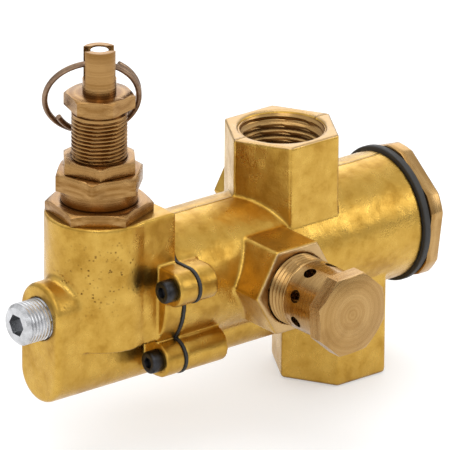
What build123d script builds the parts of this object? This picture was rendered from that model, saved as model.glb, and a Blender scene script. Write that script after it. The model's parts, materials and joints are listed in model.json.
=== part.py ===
from build123d import *
import os
from math import cos, radians, sin, sqrt

os.makedirs("parts", exist_ok=True)

# Pilot-operated unloader valve for an air compressor, in millimetres.
# The origin is the centre of the lower (tank) port's face. +X runs along the main bore from the
# pilot end to the end cap, -Y is the vent side, +Z points from the tank port to the inlet port.

# Body ports, half inch pipe thread in a one inch hexagon
port_hex_af = 25.4
port_thread_d = 20.8
port_mouth_d = 22.0
port_thread_len = 17.0
hex_corner_r = 0.5
inlet_edge_r = 0.4
tank_edge_r = 1.0
boss_edge_r = 0.5
tank_drop = 35.4
inlet_rise = 30.1
port_offset = 15.3
inlet_passage_d = 14.0
tank_passage_d = 15.0

# Barrel and gallery of the main body
barrel_d = 31.5
barrel_left = 41.2
barrel_right = 31.4
gallery_drop = 14.85
gallery_shell_d = 14.7
gallery_bore_d = 5.0

# Vent boss on the front, and gauge boss on the back over the tank port
vent_offset = 14.7
vent_hex_af = 21.0
vent_reach = 24.5
vent_thread_d = 17.4
vent_thread_len = 11.0
vent_passage_d = 11.0
gauge_hex_af = 19.05
gauge_reach = 31.4
gauge_lift = 2.7
gauge_thread_d = 13.0
gauge_thread_len = 11.0
gauge_passage_d = 6.0

# Stepped main bore, measured from the inlet axis
piston_bore_d = 22.0
piston_bore_end = 24.0
vent_chamber_d = 17.0
vent_seat_x = 7.0
vent_seat_wall = 2.0
vent_seat_d = 10.0
inlet_chamber_d = 17.0
check_seat_x = 10.0
check_lip_h = 1.0
check_lip_d = 19.4
outlet_chamber_d = 24.4

# Flange joint between the two castings
flange_d = 30.8
ear_r = 4.25
upper_screw = (17.3, 5.4)
lower_screw = (12.2, -14.15)
pilot_flange_t = 5.2
upper_ear_len = 5.1
lower_ear_len = 12.2
gasket_t = 0.8
gasket_overhang = 0.2
screw_d = 3.0
screw_head_d = 5.5
screw_head_h = 2.8
screw_socket_af = 2.5
screw_socket_depth = 1.3
screw_rim_r = 0.6
screw_end_gap = 0.4
hole_spare = 2.0
screw_hole_d = 3.4

# Pilot body
pilot_to_flange = 13.1
pilot_d = 26.0
pilot_block_w = 25.0
pilot_top = 22.2
pilot_floor = 9.2
plug_reach = 17.9
plug_boss_w = 14.7
plug_boss_top = 7.7
plug_thread_d = 10.2
plug_thread_len = 9.0
signal_bore_d = 5.0
pilot_chamber_d = 12.0
pilot_chamber_floor = 3.0
bonnet_bore_d = 18.3
bonnet_bore_floor = 6.5
boss_root_r = 1.6
boss_end_r = 1.2
casting_edge_r = 0.5

# Pipe plug
plug_len = 14.0
plug_out = 6.6
plug_drop = 1.0
plug_socket_af = 4.8
plug_socket_depth = 4.5
plug_chamfer = 0.8

# Bonnet, its jam nut, and the adjusting screw with its lock nut. Each turn is a corner's direction
# from +X, as the photograph shows it
jam_nut_af = 22.2
jam_nut_h = 2.9
bonnet_thread_d = 18.2
bonnet_bottom = 7.0
bonnet_collar_top = 28.5
bonnet_hex_af = 19.05
bonnet_hex_h = 4.4
spring_chamber_d = 12.4
spring_chamber_top = 20.0
adjust_thread_d = 13.2
adjust_bottom = 27.0
adjust_neck_d = 12.0
adjust_neck_h = 1.3
adjust_hex_bottom = 48.3
adjust_hex_af = 14.7
adjust_hex_h = 3.5
adjust_top_d = 8.0
adjust_top = 62.7
lock_nut_af = 16.6
lock_nut_gap = 0.1
lock_nut_h = 3.1
slot_w = 3.5
slot_bottom = 55.3
nut_slope = 0.5
jam_nut_turn = -98.9
bonnet_turn = -136.9
lock_nut_turn = -126.2
adjust_turn = -105.9

# Lift stem, spring buttons, ball and seat
stem_head_d = 4.6
stem_head_len = 8.0
stem_head_room = 1.0
stem_crown_r = 0.5
stem_d = 3.0
stem_top = 62.5
ring_hole_z = 59.0
ring_hole_d = 2.5
button_d = 11.2
upper_button_t = 3.0
lower_button_t = 2.6
button_spigot = 1.2
button_spring_gap = 0.6
button_chamfer = 0.6
seat_d = 9.0
seat_t = 3.5
seat_hole_d = 2.4
ball_d = 5.0
ball_gap = 0.3

# Pull ring: one and a half turns of wire, hung through the stem
ring_wire_d = 1.4
ring_od = 23.6
ring_pitch = 1.5
ring_lean = 22.0
ring_shift = -6.8
ring_free_angle = 211.0
ring_last_angle = 777.5
ring_spring_in = 2.0
ring_spring_turn = 200.0
ring_turn = 32.0

# Vent plug
vent_neck_end = 41.0
vent_plug_d = 17.4
vent_head_af = 19.4
vent_head_t = 4.0
vent_chamfer = 0.65
vent_head_wall = 1.5
vent_end_gap = 0.5
vent_bore_d = 11.0
vent_hole_d = 3.2
vent_hole_y = 33.5
vent_hole_count = 8
vent_hole_turn = 115.0
vent_head_turn = 160.5

# End cap and its seal
seal_d = 33.6
seal_t = 1.8
seal_edge_r = 0.4
cap_af = 32.2
cap_corner_d = 34.6
cap_t = 4.0
cap_rim = 0.5
cap_turn = 158.0
cap_spigot_len = 7.3
cap_pocket_d = 17.0
cap_pocket_depth = 3.0
cap_guide_depth = 7.0

# Unloader piston, its seal, spring and poppet
piston_len = 7.0
piston_start = 0.5
piston_groove_d = 18.2
piston_groove_w = 2.4
piston_groove_at = 2.0
piston_rod_d = 6.0
poppet_stud_d = 3.9
vent_disc_d = 13.6
vent_seal_t = 1.2
vent_poppet_t = 2.6
poppet_nut_af = 7.0
poppet_nut_h = 2.6
stud_spare = 0.5

# Check valve
check_disc_d = 21.6
check_seal_t = 2.0
check_disc_t = 2.6
check_guide_d = 7.0
check_guide_len = 12.5
check_stud_d = 3.9
check_nut_af = 8.0
check_nut_h = 2.4

# Springs: wire and mean coil diameters, and turns
regulating_wire = 1.6
regulating_coil = 8.6
regulating_turns = 6.0
unloader_wire = 1.2
unloader_coil = 19.4
unloader_turns = 3.5
check_wire = 1.1
check_coil = 12.6
check_turns = 3.5

# Clearances
thread_gap = 0.05
running_gap = 0.05
seat_gap = 0.02
stem_gap = 0.1

# Places along the main bore
bore_z = tank_drop
inlet_x = -port_offset
flange_x = inlet_x - barrel_left
end_x = inlet_x + barrel_right
vent_x = inlet_x - vent_offset
pilot_flange_x = flange_x - gasket_t
pilot_x = pilot_flange_x - pilot_to_flange
plug_face_x = pilot_x - plug_reach
gallery_z = bore_z - gallery_drop
screw_places = [(side * y, z) for y, z in (upper_screw, lower_screw) for side in (-1, 1)]

bore_axis = Axis((0, 0, bore_z), (1, 0, 0))
pilot_axis = Axis((pilot_x, 0, bore_z), (0, 0, 1))
vent_axis = Axis((vent_x, 0, bore_z), (0, -1, 0))
# Profiles about the main bore are drawn as (distance from the inlet axis, radius)
bore_plane = Plane(origin=(inlet_x, 0, bore_z), x_dir=(1, 0, 0), z_dir=(0, -1, 0))
# Profiles about the pilot axis are drawn as (radius, height over the main bore)
pilot_plane = Plane(origin=(pilot_x, 0, bore_z), x_dir=(1, 0, 0), z_dir=(0, -1, 0))
# Profiles about the vent axis are drawn as (distance from the main bore, radius)
vent_plane = Plane(origin=(vent_x, 0, bore_z), x_dir=(0, -1, 0), z_dir=(1, 0, 0))


def across(x):
    # A plane square to the main bore, drawn as (y, height over the bore)
    return Plane(origin=(x, 0, bore_z), x_dir=(0, 1, 0), z_dir=(1, 0, 0))


def plug_level(x):
    # A plane square to the plug's port, which lies a little under the main bore's axis
    return Plane(origin=(x, 0, bore_z - plug_drop), x_dir=(0, 1, 0), z_dir=(1, 0, 0))


def sideways(x, y, facing):
    # A plane square to the Y axis, drawn as (x, height over the bore)
    return Plane(origin=(x, y, bore_z), x_dir=(1, 0, 0), z_dir=(0, facing, 0))


def level(x, z):
    # A horizontal plane at a height over the main bore
    return Plane(origin=(x, 0, bore_z + z), x_dir=(1, 0, 0), z_dir=(0, 0, 1))


def outline(plane, points):
    with BuildSketch(plane) as drawn:
        with BuildLine():
            Polyline(*points, close=True)
        make_face()
    return drawn.sketch


def polygon(plane, flats, sides, turn, corner_r=0):
    with BuildSketch(plane) as drawn:
        RegularPolygon(flats / 2, sides, major_radius=False, rotation=turn)
        if corner_r:
            fillet(drawn.vertices(), corner_r)
    return drawn.sketch


def disc(plane, diameter):
    with BuildSketch(plane) as drawn:
        Circle(diameter / 2)
    return drawn.sketch


def flange_outline(plane, growth):
    # Round flange, gallery below it, and an ear for each screw
    with BuildSketch(plane) as drawn:
        Circle(flange_d / 2 + growth)
        with Locations((0, -gallery_drop)):
            Circle(gallery_shell_d / 2 + growth)
        with Locations((0, -gallery_drop / 2)):
            Rectangle(gallery_shell_d + 2 * growth, gallery_drop)
        for y, z in screw_places:
            with Locations((y, z)):
                Circle(ear_r + growth)
            with Locations((y / 2, z)):
                Rectangle(abs(y), 2 * (ear_r + growth))
    return drawn.sketch


def nut_blank(flats, top):
    # The turned blank of a hexagon: its cone takes the top corners off
    reach = flats / sqrt(3) + 1
    rise = (reach - flats / 2) * nut_slope
    return outline(pilot_plane, [(0, 0), (reach, 0), (reach, top - rise), (flats / 2, top), (0, top)])


def coil(origin, direction, mean_d, wire_d, length, turns):
    # The route of a spring's wire between two faces
    return Helix(
        pitch=(length - wire_d) / turns,
        height=length - wire_d,
        radius=mean_d / 2,
        center=Vector(*origin) + Vector(*direction) * (wire_d / 2),
        direction=direction,
    )


# Main body: a forged barrel with two port hexagons, a vent boss, a gauge boss and a gallery
gauge_root = Plane(origin=(0, 0, bore_z + gauge_lift), x_dir=(1, 0, 0), z_dir=(0, 1, 0))
gauge_face = Plane(origin=(0, gauge_reach, bore_z + gauge_lift), x_dir=(1, 0, 0), z_dir=(0, -1, 0))
with BuildPart() as main_body:
    extrude(disc(across(flange_x), barrel_d), amount=end_x - flange_x)
    with BuildSketch(across(flange_x)) as gallery_shell:
        with Locations((0, -gallery_drop)):
            Circle(gallery_shell_d / 2)
        with Locations((0, -gallery_drop / 2)):
            Rectangle(gallery_shell_d, gallery_drop)
    extrude(gallery_shell.sketch, amount=-flange_x)
    extrude(polygon(level(inlet_x, 0), port_hex_af, 6, 0, hex_corner_r), amount=inlet_rise)
    extrude(polygon(level(0, -tank_drop), port_hex_af, 6, 0, hex_corner_r), amount=tank_drop)
    extrude(polygon(sideways(vent_x, 0, -1), vent_hex_af, 6, 0, hex_corner_r), amount=vent_reach)
    extrude(polygon(gauge_root, gauge_hex_af, 6, 0, hex_corner_r), amount=gauge_reach)
    # Rounded faces of the bosses
    fillet(main_body.faces().sort_by(Axis.Z)[-1].edges(), inlet_edge_r)
    fillet(main_body.faces().sort_by(Axis.Z)[0].edges(), tank_edge_r)
    fillet(main_body.faces().sort_by(Axis.Y)[0].edges(), boss_edge_r)
    fillet(main_body.faces().sort_by(Axis.Y)[-1].edges(), boss_edge_r)
    # Ears behind the flange
    for y, z in screw_places:
        ear_len = upper_ear_len if z > 0 else lower_ear_len
        with BuildSketch(across(flange_x)) as ear:
            with Locations((y, z)):
                Circle(ear_r)
            with Locations((y / 2, z)):
                Rectangle(abs(y), 2 * ear_r)
        extrude(ear.sketch, amount=ear_len)
    # Stepped bore through the barrel
    main_bore = [
        (-barrel_left, 0),
        (-barrel_left, piston_bore_d / 2),
        (-piston_bore_end, piston_bore_d / 2),
        (-piston_bore_end, vent_chamber_d / 2),
        (-vent_seat_x - vent_seat_wall, vent_chamber_d / 2),
        (-vent_seat_x - vent_seat_wall, vent_seat_d / 2),
        (-vent_seat_x, vent_seat_d / 2),
        (-vent_seat_x, inlet_chamber_d / 2),
        (check_seat_x + check_lip_h, inlet_chamber_d / 2),
        (check_seat_x + check_lip_h, check_lip_d / 2),
        (check_seat_x, check_lip_d / 2),
        (check_seat_x, outlet_chamber_d / 2),
        (barrel_right, outlet_chamber_d / 2),
        (barrel_right, 0),
    ]
    revolve(outline(bore_plane, main_bore), axis=bore_axis, mode=Mode.SUBTRACT)
    # Threaded ports and their passages
    mouth_rise = (port_mouth_d - port_thread_d) / 2
    extrude(disc(level(inlet_x, inlet_rise), port_thread_d), amount=-port_thread_len, mode=Mode.SUBTRACT)
    extrude(disc(level(inlet_x, inlet_rise), inlet_passage_d), amount=-inlet_rise, mode=Mode.SUBTRACT)
    extrude(disc(level(0, -tank_drop), port_thread_d), amount=port_thread_len, mode=Mode.SUBTRACT)
    extrude(disc(level(0, -tank_drop), tank_passage_d), amount=tank_drop, mode=Mode.SUBTRACT)
    vent_bore_steps = [
        (0, 0),
        (vent_reach, 0),
        (vent_reach, vent_thread_d / 2),
        (vent_reach - vent_thread_len, vent_thread_d / 2),
        (vent_reach - vent_thread_len, vent_passage_d / 2),
        (0, vent_passage_d / 2),
    ]
    revolve(outline(vent_plane, vent_bore_steps), axis=vent_axis, mode=Mode.SUBTRACT)
    extrude(disc(gauge_face, gauge_thread_d), amount=gauge_thread_len, mode=Mode.SUBTRACT)
    extrude(disc(gauge_face, gauge_passage_d), amount=gauge_reach, mode=Mode.SUBTRACT)
    extrude(disc(Plane(origin=(flange_x, 0, gallery_z), z_dir=(1, 0, 0)), gallery_bore_d),
            amount=-flange_x, mode=Mode.SUBTRACT)
    # Tapped screw holes
    for y, z in screw_places:
        hole_depth = upper_ear_len if z > 0 else lower_ear_len - hole_spare
        with BuildSketch(across(flange_x)) as tapped:
            with Locations((y, z)):
                Circle(screw_d / 2)
        extrude(tapped.sketch, amount=hole_depth, mode=Mode.SUBTRACT)
    # Countersunk mouths
    mouths = main_body.edges().filter_by(GeomType.CIRCLE)
    mouths = mouths.filter_by(lambda e: abs(e.radius - port_thread_d / 2) < 0.01)
    chamfer(mouths.group_by(Axis.Z)[0] + mouths.group_by(Axis.Z)[-1], mouth_rise)
main_body.part.label = "main_body"
export_step(main_body.part, "parts/main_body.step")

# Pilot body: a casting with an upright chamber, a plug boss and the matching flange
with BuildPart() as pilot_body:
    extrude(disc(level(pilot_x, -pilot_floor), pilot_d), amount=pilot_floor + pilot_top)
    with BuildSketch(level(pilot_x, -pilot_floor)) as block:
        with Locations((pilot_to_flange / 2, 0)):
            Rectangle(pilot_to_flange, pilot_block_w)
    extrude(block.sketch, amount=pilot_floor + pilot_top)
    plug_arc_z = plug_boss_top - plug_boss_w / 2
    with BuildSketch(across(plug_face_x)) as plug_boss:
        with Locations((0, plug_arc_z), (0, -gallery_drop)):
            Circle(plug_boss_w / 2)
        with Locations((0, (plug_arc_z - gallery_drop) / 2)):
            Rectangle(plug_boss_w, plug_arc_z + gallery_drop)
    extrude(plug_boss.sketch, amount=pilot_flange_x - plug_face_x)
    extrude(flange_outline(across(pilot_flange_x), 0), amount=-pilot_flange_t)
    split(bisect_by=across(pilot_flange_x), keep=Keep.BOTTOM)
    # Cast fillets: where the plug boss leaves the round wall, its end and the top rim
    wall_x = pilot_x - pilot_d / 2
    side_y = plug_boss_w / 2
    near_wall = pilot_body.edges().filter_by(lambda e: wall_x - 1 < e.center().X < wall_x + 3)
    over_floor = near_wall.filter_by(lambda e: -pilot_floor / 2 < e.center().Z - bore_z < plug_boss_top + 1)
    fillet(over_floor.filter_by(lambda e: abs(e.center().Y) <= side_y + 0.01), boss_root_r)
    fillet(pilot_body.faces().sort_by(Axis.X)[0].edges(), boss_end_r)
    fillet(pilot_body.faces().sort_by(Axis.Z)[-1].edges(), casting_edge_r)
    # Bonnet bore, pilot chamber and the passage down to the gallery
    chamber_steps = [
        (0, pilot_top),
        (bonnet_bore_d / 2, pilot_top),
        (bonnet_bore_d / 2, bonnet_bore_floor),
        (pilot_chamber_d / 2, bonnet_bore_floor),
        (pilot_chamber_d / 2, -pilot_chamber_floor),
        (seat_d / 2, -pilot_chamber_floor),
        (seat_d / 2, -pilot_chamber_floor - seat_t),
        (gallery_bore_d / 2, -pilot_chamber_floor - seat_t),
        (gallery_bore_d / 2, -gallery_drop),
        (0, -gallery_drop),
    ]
    revolve(outline(pilot_plane, chamber_steps), axis=pilot_axis, mode=Mode.SUBTRACT)
    gallery_plane = Plane(origin=(pilot_flange_x, 0, gallery_z), z_dir=(-1, 0, 0))
    extrude(disc(gallery_plane, gallery_bore_d), amount=pilot_to_flange + gallery_bore_d / 2, mode=Mode.SUBTRACT)
    # Plug port and the signal passage through to the piston chamber
    extrude(disc(plug_level(plug_face_x), plug_thread_d), amount=plug_thread_len, mode=Mode.SUBTRACT)
    extrude(disc(plug_level(plug_face_x), signal_bore_d), amount=pilot_flange_x - plug_face_x, mode=Mode.SUBTRACT)
    for y, z in screw_places:
        with BuildSketch(across(pilot_flange_x)) as clearance_hole:
            with Locations((y, z)):
                Circle(screw_hole_d / 2)
        extrude(clearance_hole.sketch, amount=-pilot_flange_t, mode=Mode.SUBTRACT)
pilot_body.part.label = "pilot_body"
export_step(pilot_body.part, "parts/pilot_body.step")

# Gasket between the castings
with BuildPart() as body_gasket:
    extrude(flange_outline(across(pilot_flange_x), gasket_overhang), amount=gasket_t)
    extrude(disc(across(pilot_flange_x), piston_bore_d), amount=gasket_t, mode=Mode.SUBTRACT)
    with BuildSketch(across(pilot_flange_x)) as gasket_holes:
        with Locations((0, -gallery_drop)):
            Circle(gallery_bore_d / 2)
        for y, z in screw_places:
            with Locations((y, z)):
                Circle(screw_hole_d / 2)
    extrude(gasket_holes.sketch, amount=gasket_t, mode=Mode.SUBTRACT)
body_gasket.part.label = "body_gasket"
export_step(body_gasket.part, "parts/body_gasket.step")

# Four socket screws through the pilot body's ears
with BuildPart() as flange_screws:
    head_x = pilot_flange_x - pilot_flange_t
    shank_len = pilot_flange_t + gasket_t + upper_ear_len - screw_end_gap
    with BuildSketch(across(head_x)) as heads:
        with Locations(*screw_places):
            Circle(screw_head_d / 2)
    extrude(heads.sketch, amount=-screw_head_h)
    rims = flange_screws.edges().group_by(Axis.X)[0]
    fillet(rims, screw_rim_r)
    with BuildSketch(across(head_x)) as shanks:
        with Locations(*screw_places):
            Circle(screw_d / 2 - thread_gap)
    extrude(shanks.sketch, amount=shank_len)
    with BuildSketch(across(head_x - screw_head_h)) as sockets:
        with Locations(*screw_places):
            RegularPolygon(screw_socket_af / 2, 6, major_radius=False)
    extrude(sockets.sketch, amount=screw_socket_depth, mode=Mode.SUBTRACT)
flange_screws.part.label = "flange_screws"
export_step(flange_screws.part, "parts/flange_screws.step")

# Pipe plug with a hexagon socket
with BuildPart() as pipe_plug:
    extrude(disc(plug_level(plug_face_x - plug_out), plug_thread_d - 2 * thread_gap), amount=plug_len)
    chamfer(pipe_plug.edges().group_by(Axis.X)[0], plug_chamfer)
    extrude(polygon(plug_level(plug_face_x - plug_out), plug_socket_af, 6, 0), amount=plug_socket_depth,
            mode=Mode.SUBTRACT)
pipe_plug.part.label = "pipe_plug"
export_step(pipe_plug.part, "parts/pipe_plug.step")

# Jam nut that locks the bonnet in the pilot body
with BuildPart() as jam_nut:
    extrude(polygon(level(pilot_x, pilot_top), jam_nut_af, 6, jam_nut_turn), amount=jam_nut_h)
    revolve(nut_blank(jam_nut_af, pilot_top + jam_nut_h), axis=pilot_axis, mode=Mode.INTERSECT)
    extrude(disc(level(pilot_x, pilot_top), bonnet_bore_d), amount=jam_nut_h, mode=Mode.SUBTRACT)
jam_nut.part.label = "jam_nut"
export_step(jam_nut.part, "parts/jam_nut.step")

# Bonnet: a hollow screw that holds the regulating spring
bonnet_top = bonnet_collar_top + bonnet_hex_h
with BuildPart() as bonnet:
    extrude(polygon(level(pilot_x, bonnet_collar_top), bonnet_hex_af, 6, bonnet_turn), amount=bonnet_hex_h)
    revolve(nut_blank(bonnet_hex_af, bonnet_top), axis=pilot_axis, mode=Mode.INTERSECT)
    extrude(disc(level(pilot_x, bonnet_bottom), bonnet_thread_d), amount=bonnet_collar_top - bonnet_bottom)
    extrude(disc(level(pilot_x, bonnet_bottom), spring_chamber_d), amount=spring_chamber_top - bonnet_bottom,
            mode=Mode.SUBTRACT)
    extrude(disc(level(pilot_x, bonnet_top), adjust_thread_d + 2 * thread_gap), amount=spring_chamber_top - bonnet_top,
            mode=Mode.SUBTRACT)
bonnet.part.label = "bonnet"
export_step(bonnet.part, "parts/bonnet.step")

# Adjusting screw: hollow, with a wrench hexagon and a slotted top that shields the stem
with BuildPart() as adjusting_screw:
    hex_top = adjust_hex_bottom + adjust_hex_h
    extrude(polygon(level(pilot_x, adjust_hex_bottom), adjust_hex_af, 6, adjust_turn), amount=adjust_hex_h)
    revolve(nut_blank(adjust_hex_af, hex_top), axis=pilot_axis, mode=Mode.INTERSECT)
    thread_top = adjust_hex_bottom - adjust_neck_h
    extrude(disc(level(pilot_x, adjust_bottom), adjust_thread_d), amount=thread_top - adjust_bottom)
    extrude(disc(level(pilot_x, thread_top), adjust_neck_d), amount=adjust_neck_h)
    extrude(disc(level(pilot_x, hex_top), adjust_top_d), amount=adjust_top - hex_top)
    # Bore for the stem, wider where its head runs
    head_floor = stem_top - stem_head_len - stem_head_room
    stem_bore = [
        (0, adjust_bottom),
        (stem_d / 2 + stem_gap, adjust_bottom),
        (stem_d / 2 + stem_gap, head_floor),
        (stem_head_d / 2 + stem_gap, head_floor),
        (stem_head_d / 2 + stem_gap, adjust_top),
        (0, adjust_top),
    ]
    revolve(outline(pilot_plane, stem_bore), axis=pilot_axis, mode=Mode.SUBTRACT)
    with BuildSketch(level(pilot_x, slot_bottom)) as slot:
        Rectangle(2 * adjust_top_d, slot_w, rotation=-ring_turn)
    extrude(slot.sketch, amount=adjust_top - slot_bottom, mode=Mode.SUBTRACT)
adjusting_screw.part.label = "adjusting_screw"
export_step(adjusting_screw.part, "parts/adjusting_screw.step")

# Lock nut on the adjusting screw
with BuildPart() as lock_nut:
    lock_bottom = bonnet_top + lock_nut_gap
    lock_top = lock_bottom + lock_nut_h
    extrude(polygon(level(pilot_x, lock_bottom), lock_nut_af, 6, lock_nut_turn), amount=lock_nut_h)
    revolve(nut_blank(lock_nut_af, lock_top), axis=pilot_axis, mode=Mode.INTERSECT)
    extrude(disc(level(pilot_x, lock_bottom), adjust_thread_d + 2 * thread_gap), amount=lock_nut_h,
            mode=Mode.SUBTRACT)
lock_nut.part.label = "lock_nut"
export_step(lock_nut.part, "parts/lock_nut.step")

# Pilot seat, and the ball just over it
seat_top = -pilot_chamber_floor
with BuildPart() as pilot_seat:
    extrude(disc(level(pilot_x, seat_top - seat_t), seat_d - 2 * seat_gap), amount=seat_t)
    extrude(disc(level(pilot_x, seat_top - seat_t), seat_hole_d), amount=seat_t, mode=Mode.SUBTRACT)
pilot_seat.part.label = "pilot_seat"
export_step(pilot_seat.part, "parts/pilot_seat.step")

ball_reach = ball_d / 2 + ball_gap
ball_z = seat_top + sqrt(ball_reach**2 - (seat_hole_d / 2) ** 2)
with BuildPart() as pilot_ball:
    with Locations((pilot_x, 0, bore_z + ball_z)):
        Sphere(ball_d / 2)
pilot_ball.part.label = "pilot_ball"
export_step(pilot_ball.part, "parts/pilot_ball.step")

# Spring buttons above and below the regulating spring
lower_button_z = ball_z + ball_d / 2
stem_foot = lower_button_z + button_spigot
spigot_d = regulating_coil - regulating_wire - button_spring_gap
with BuildPart() as lower_spring_button:
    extrude(disc(level(pilot_x, lower_button_z), button_d), amount=lower_button_t)
    extrude(disc(level(pilot_x, lower_button_z), spigot_d),
            amount=lower_button_t + button_spigot)
    chamfer(lower_spring_button.edges().group_by(Axis.Z)[0], button_chamfer)
    extrude(disc(level(pilot_x, stem_foot), stem_d),
            amount=lower_button_t, mode=Mode.SUBTRACT)
lower_spring_button.part.label = "lower_spring_button"
export_step(lower_spring_button.part, "parts/lower_spring_button.step")

upper_button_z = adjust_bottom - upper_button_t
with BuildPart() as upper_spring_button:
    extrude(disc(level(pilot_x, upper_button_z), button_d), amount=upper_button_t)
    extrude(disc(level(pilot_x, upper_button_z), spigot_d), amount=-button_spigot)
    extrude(disc(level(pilot_x, upper_button_z - button_spigot), stem_d + 2 * stem_gap),
            amount=upper_button_t + button_spigot,
            mode=Mode.SUBTRACT)
upper_spring_button.part.label = "upper_spring_button"
export_step(upper_spring_button.part, "parts/upper_spring_button.step")

# Regulating spring between the buttons
with BuildPart() as regulating_spring:
    spring_low = lower_button_z + lower_button_t
    with BuildLine():
        regulating_route = coil((pilot_x, 0, bore_z + spring_low + seat_gap), (0, 0, 1), regulating_coil,
                                regulating_wire, upper_button_z - spring_low - 2 * seat_gap, regulating_turns)
    with BuildSketch(Plane(regulating_route @ 0, z_dir=regulating_route % 0)):
        Circle(regulating_wire / 2)
    sweep(is_frenet=True)
regulating_spring.part.label = "regulating_spring"
export_step(regulating_spring.part, "parts/regulating_spring.step")

# Lift stem: its head shows in the slotted top and carries the ring, which lies along the slot
ring_right = Vector(cos(radians(ring_turn)), -sin(radians(ring_turn)), 0)
ring_back = Vector(sin(radians(ring_turn)), cos(radians(ring_turn)), 0)
with BuildPart() as lift_stem:
    extrude(disc(level(pilot_x, stem_foot), stem_d), amount=stem_top - stem_foot)
    extrude(disc(level(pilot_x, stem_top - stem_head_len), stem_head_d), amount=stem_head_len)
    fillet(lift_stem.edges().group_by(Axis.Z)[-1], stem_crown_r)
    hole_plane = Plane(origin=(pilot_x, 0, bore_z + ring_hole_z), z_dir=ring_right)
    extrude(disc(hole_plane, ring_hole_d), amount=stem_head_d, both=True, mode=Mode.SUBTRACT)
lift_stem.part.label = "lift_stem"
export_step(lift_stem.part, "parts/lift_stem.step")

# Pull ring, drawn in its own leaning plane
ring_r = (ring_od - ring_wire_d) / 2
ring_up = Vector(0, 0, 1) * cos(radians(ring_lean)) - ring_back * sin(radians(ring_lean))
ring_front = ring_right.cross(ring_up)
ring_hole = Vector(pilot_x, 0, bore_z + ring_hole_z)
hang = radians(90 + ring_shift)
ring_centre = ring_hole - (ring_right * cos(hang) + ring_up * sin(hang)) * ring_r


def ring_point(angle):
    # The wire's free end springs inwards over its last part turn
    loose = max(0.0, 1 - (angle - ring_free_angle) / ring_spring_turn)
    r = ring_r - ring_spring_in * loose**2
    a = radians(angle)
    side = ring_pitch * (90 + ring_shift + 360 - angle) / 360
    return ring_centre + ring_right * r * cos(a) + ring_up * r * sin(a) + ring_front * side


ring_steps = 26
ring_step = (ring_last_angle - ring_free_angle) / ring_steps
with BuildPart() as pull_ring:
    with BuildLine():
        ring_route = Spline(*[ring_point(ring_free_angle + n * ring_step) for n in range(ring_steps + 1)])
    with BuildSketch(Plane(ring_route @ 0, z_dir=ring_route % 0)):
        Circle(ring_wire_d / 2)
    sweep()
pull_ring.part.label = "pull_ring"
export_step(pull_ring.part, "parts/pull_ring.step")

# Vent plug: hollow, with a ring of radial holes behind its head
with BuildPart() as vent_plug:
    head_end = vent_neck_end + vent_head_t
    inner_end = vent_reach - vent_thread_len + vent_end_gap
    neck_plane = sideways(vent_x, -inner_end, -1)
    head_plane = sideways(vent_x, -vent_neck_end, -1)
    extrude(polygon(head_plane, vent_head_af, 8, vent_head_turn), amount=vent_head_t)
    trim = [
        (0, 0),
        (vent_neck_end, 0),
        (vent_neck_end, vent_head_af),
        (head_end - vent_chamfer, vent_head_af / 2 + 2 * vent_chamfer),
        (head_end, vent_head_af / 2),
        (head_end, 0),
    ]
    revolve(outline(vent_plane, trim), axis=vent_axis, mode=Mode.INTERSECT)
    extrude(disc(neck_plane, vent_plug_d - 2 * thread_gap), amount=vent_neck_end - inner_end)
    extrude(disc(neck_plane, vent_bore_d), amount=vent_neck_end - inner_end - vent_head_wall, mode=Mode.SUBTRACT)
    for n in range(vent_hole_count):
        turn = radians(vent_hole_turn + 360 / vent_hole_count * n)
        hole = Plane(origin=(vent_x, -vent_hole_y, bore_z), z_dir=(cos(turn), 0, sin(turn)))
        extrude(disc(hole, vent_hole_d), amount=vent_plug_d, mode=Mode.SUBTRACT)
vent_plug.part.label = "vent_plug"
export_step(vent_plug.part, "parts/vent_plug.step")

# End cap with its spigot, and the seal under its head
cap_x = end_x + seal_t
spigot_x = end_x - cap_spigot_len
with BuildPart() as end_cap:
    extrude(polygon(across(cap_x), cap_af, 6, cap_turn), amount=cap_t)
    extrude(disc(across(cap_x), cap_corner_d), amount=cap_t, mode=Mode.INTERSECT)
    chamfer(end_cap.faces().sort_by(Axis.X)[-1].edges(), cap_rim)
    extrude(disc(across(spigot_x), outlet_chamber_d - 2 * thread_gap), amount=cap_x - spigot_x)
    extrude(disc(across(spigot_x), cap_pocket_d), amount=cap_pocket_depth, mode=Mode.SUBTRACT)
    extrude(disc(across(spigot_x), check_guide_d + 2 * stem_gap), amount=cap_pocket_depth + cap_guide_depth,
            mode=Mode.SUBTRACT)
end_cap.part.label = "end_cap"
export_step(end_cap.part, "parts/end_cap.step")

with BuildPart() as end_cap_seal:
    extrude(disc(across(end_x), seal_d), amount=seal_t)
    fillet(end_cap_seal.edges(), seal_edge_r)
    extrude(disc(across(end_x), outlet_chamber_d), amount=seal_t, mode=Mode.SUBTRACT)
end_cap_seal.part.label = "end_cap_seal"
export_step(end_cap_seal.part, "parts/end_cap_seal.step")

# Unloader piston with its rod and the stud that carries the vent poppet
piston_left = -barrel_left - gasket_t + piston_start
piston_right = piston_left + piston_len
piston_r = piston_bore_d / 2 - running_gap
groove_left = piston_left + piston_groove_at
groove_right = groove_left + piston_groove_w
stud_end = -vent_seat_x + vent_seal_t + vent_poppet_t + poppet_nut_h + stud_spare
with BuildPart() as unloader_piston:
    piston_steps = [
        (piston_left, 0),
        (piston_left, piston_r),
        (groove_left, piston_r),
        (groove_left, piston_groove_d / 2),
        (groove_right, piston_groove_d / 2),
        (groove_right, piston_r),
        (piston_right, piston_r),
        (piston_right, piston_rod_d / 2),
        (-vent_seat_x, piston_rod_d / 2),
        (-vent_seat_x, poppet_stud_d / 2),
        (stud_end, poppet_stud_d / 2),
        (stud_end, 0),
    ]
    revolve(outline(bore_plane, piston_steps), axis=bore_axis)
unloader_piston.part.label = "unloader_piston"
export_step(unloader_piston.part, "parts/unloader_piston.step")

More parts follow.
